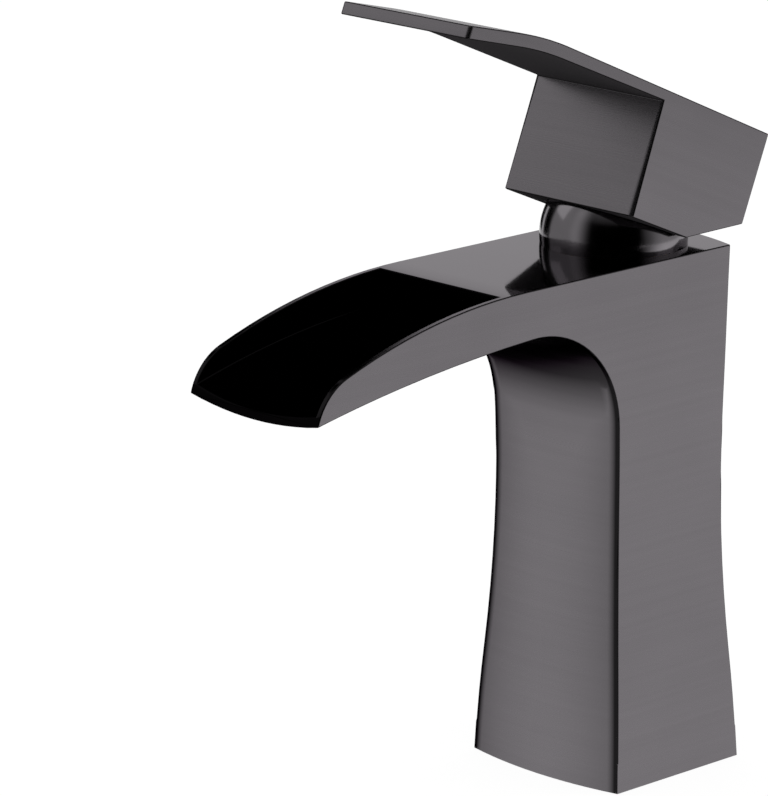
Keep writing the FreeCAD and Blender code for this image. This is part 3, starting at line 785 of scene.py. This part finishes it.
def floor_paint(paint):
    """Matt paint, mixed with even white for the rays that see the surround."""
    made = bpy.data.materials.new("floor_paint")
    made.use_nodes = True
    tree = made.node_tree
    shader = tree.nodes["Principled BSDF"]
    shader.inputs["Base Color"].default_value = (paint, paint, paint, 1)
    shader.inputs["Roughness"].default_value = 0.9
    shader.inputs["Specular IOR Level"].default_value = 0.0
    seen = white_rays(tree)
    white = seen.node("Emission", Color=(1, 1, 1, 1), Strength=FLOOR_WHITE)
    painted = Socket(tree, shader.outputs[0])
    shown = seen.node("MixShader", _0=seen * WHITE_SHARE, _1=painted, _2=white)
    tree.links.new(shown.link, tree.nodes["Material Output"].inputs["Surface"])
    return made


def studio_floor(half, paint):
    """A pale floor just under the deck level."""
    skin = bmesh.new()
    bmesh.ops.create_grid(skin, x_segments=1, y_segments=1, size=half)
    bmesh.ops.translate(skin, vec=(0, 0, -FLOOR_DROP), verts=skin.verts)
    staged("studio_floor", skin, floor_paint(paint))


studio_floor(6.0, 0.85)

# %% [markdown]
# ## Black screens
# Metal looks like what it mirrors. The photographer's side of a studio is dark,
# which gives the dome its black core. Two flags on the left leave it a patch and a
# thin streak of light, and two thin veils dim what its patches and the front of the
# handle mirror. A screen is a profile of distances and heights that is swept round
# the object. Directions are azimuths from the front (-Y) towards +X, in degrees.

# %% Profiles of screens
AIM = Vector((0, 0, 0.12))
ABOVE_FLOOR = 0.5 * MM
ARC_STEP, SWEEP_STEP = 4, 3


def ground(*distances):
    """Points (distance, height) just over the floor."""
    return [(distance, ABOVE_FLOOR) for distance in distances]


def arc(radius, lowest, highest):
    """Points (distance, height) on an upright arc round the object's middle."""
    return [(radius * math.cos(math.radians(rise)),
             AIM.z + radius * math.sin(math.radians(rise)))
            for rise in range(lowest, highest + 1, ARC_STEP)]


def swept(profile, start, end):
    """A skin that sweeps a profile from one azimuth to the other."""
    skin = bmesh.new()
    verts = [skin.verts.new((distance * math.sin(math.radians(start)),
                             -distance * math.cos(math.radians(start)), height))
             for distance, height in profile]
    edges = [skin.edges.new(pair) for pair in zip(verts, verts[1:])]
    steps = int((end - start) / SWEEP_STEP)
    bmesh.ops.spin(skin, geom=verts + edges, cent=(0, 0, 0), axis=(0, 0, 1),
                   angle=math.radians(end - start), steps=steps,
                   use_merge=False, use_duplicate=False)
    return skin


# %% [markdown]
# A screen fades out at its ends, so its cover is a number at its points.

# %% Cover of a screen
def ramp(value, low, high, fades):
    """One between low and high, easing to zero over the fade on either side."""
    share = clamped(min((value - low) / fades[0], (high - value) / fades[1]))
    return share * share * (3 - 2 * share)


def black_cover(name):
    """Black where the attribute "cover" is one, and clear where it is zero."""
    made = bpy.data.materials.new(name)
    made.use_nodes = True
    tree = made.node_tree
    tree.nodes.remove(tree.nodes["Principled BSDF"])
    share = Socket(tree, None).attribute("cover")
    clear = share.node("BsdfTransparent")
    black = share.node("Emission", Color=(0, 0, 0, 1), Strength=0.0)
    shown = share.node("MixShader", _0=share, _1=clear, _2=black)
    tree.links.new(shown.link, tree.nodes["Material Output"].inputs["Surface"])
    return made


# %% [markdown]
# Only reflections see a screen, so it takes no light away.

# %% Screen maker
def screen(name, profile, azimuths, fades, shares, cover=1.0):
    """A screen round the object; shares scale its cover along the profile."""
    start, end = azimuths
    skin = swept(profile, start, end)
    layer = skin.verts.layers.float.new("cover")
    places = [Vector(place) for place in profile]
    for vert in skin.verts:
        turn = math.degrees(math.atan2(vert.co.x, -vert.co.y))
        turn += 360 * ((turn < start - 0.1) - (turn > end + 0.1))
        point = Vector((vert.co.to_2d().length, vert.co.z))
        row = min(range(len(places)), key=lambda n: (places[n] - point).length)
        vert[layer] = cover * shares[row] * ramp(turn, start, end, fades)
    sheet = staged(name, skin, black_cover(name))
    for kind in ("camera", "diffuse", "transmission", "volume_scatter", "shadow"):
        setattr(sheet, "visible_" + kind, False)


# %% [markdown]
# The wall stands on the lens's side, where the camera looks through it, and gets
# thinner towards its top. The flags and veils reach almost overhead. On the floor
# all of them begin a little away from the object.

# %% Screens
wall = ground(0.36, 0.44, 1.04) + arc(1.05, -7, 61)
wall_shares = [0.0] + [1.0] * 11 + [0.96, 0.93, 0.9, 0.86, 0.8, 0.65, 0.4, 0.2, 0.0]
flag = ground(0.75, 1.14) + arc(1.15, -6, 86)
left_veil = ground(0.5, 0.75, 1.24) + arc(1.25, -6, 86)
right_veil = ground(0.85, 1.0, 1.24) + arc(1.25, -6, 86)
whole = [1.0] * len(flag)
all_but_first = [0.0] + [1.0] * (len(left_veil) - 1)

screen("camera_side", wall, (-36, 130), (44, 46), wall_shares)
screen("left_flag", flag, (-97, -70), (2, 6), whole)
screen("left_flag_far", flag, (-126, -102), (6, 1), whole)
screen("left_veil", left_veil, (-84, -10), (8, 24), all_but_first, cover=0.57)
screen("right_veil", right_veil, (84, 176), (20, 20), all_but_first, cover=0.5)

# %% [markdown]
# ## Lamps
# Two large soft boxes, one to the left and one to the right, light the object evenly.
# Their power is set from their area, so that they look as bright as the surround.

# %% Soft boxes
def soft_box(name, azimuth, elevation, distance, width, height, brightness):
    """A rectangular lamp that faces the object from one direction."""
    turn, rise = math.radians(azimuth), math.radians(elevation)
    away = Vector((math.sin(turn) * math.cos(rise), -math.cos(turn) * math.cos(rise),
                   math.sin(rise)))
    light = bpy.data.lights.new(name, "AREA")
    light.shape = "RECTANGLE"
    light.size, light.size_y = width, height
    light.energy = brightness * math.pi * width * height
    lamp = bpy.data.objects.new(name, light)
    lamp.location = AIM + away * distance
    lamp.rotation_euler = away.to_track_quat("Z", "Y").to_euler()
    bpy.context.scene.collection.objects.link(lamp)
    print(name, "gives", round(light.energy, 1), "watts")


soft_box("left_box", -66, 30, 2.4, 1.6, 1.2, 1.0)
soft_box("right_box", 134, 26, 2.4, 1.4, 1.0, 1.0)

# %% Colour view
bpy.context.scene.view_settings.view_transform = "Standard"
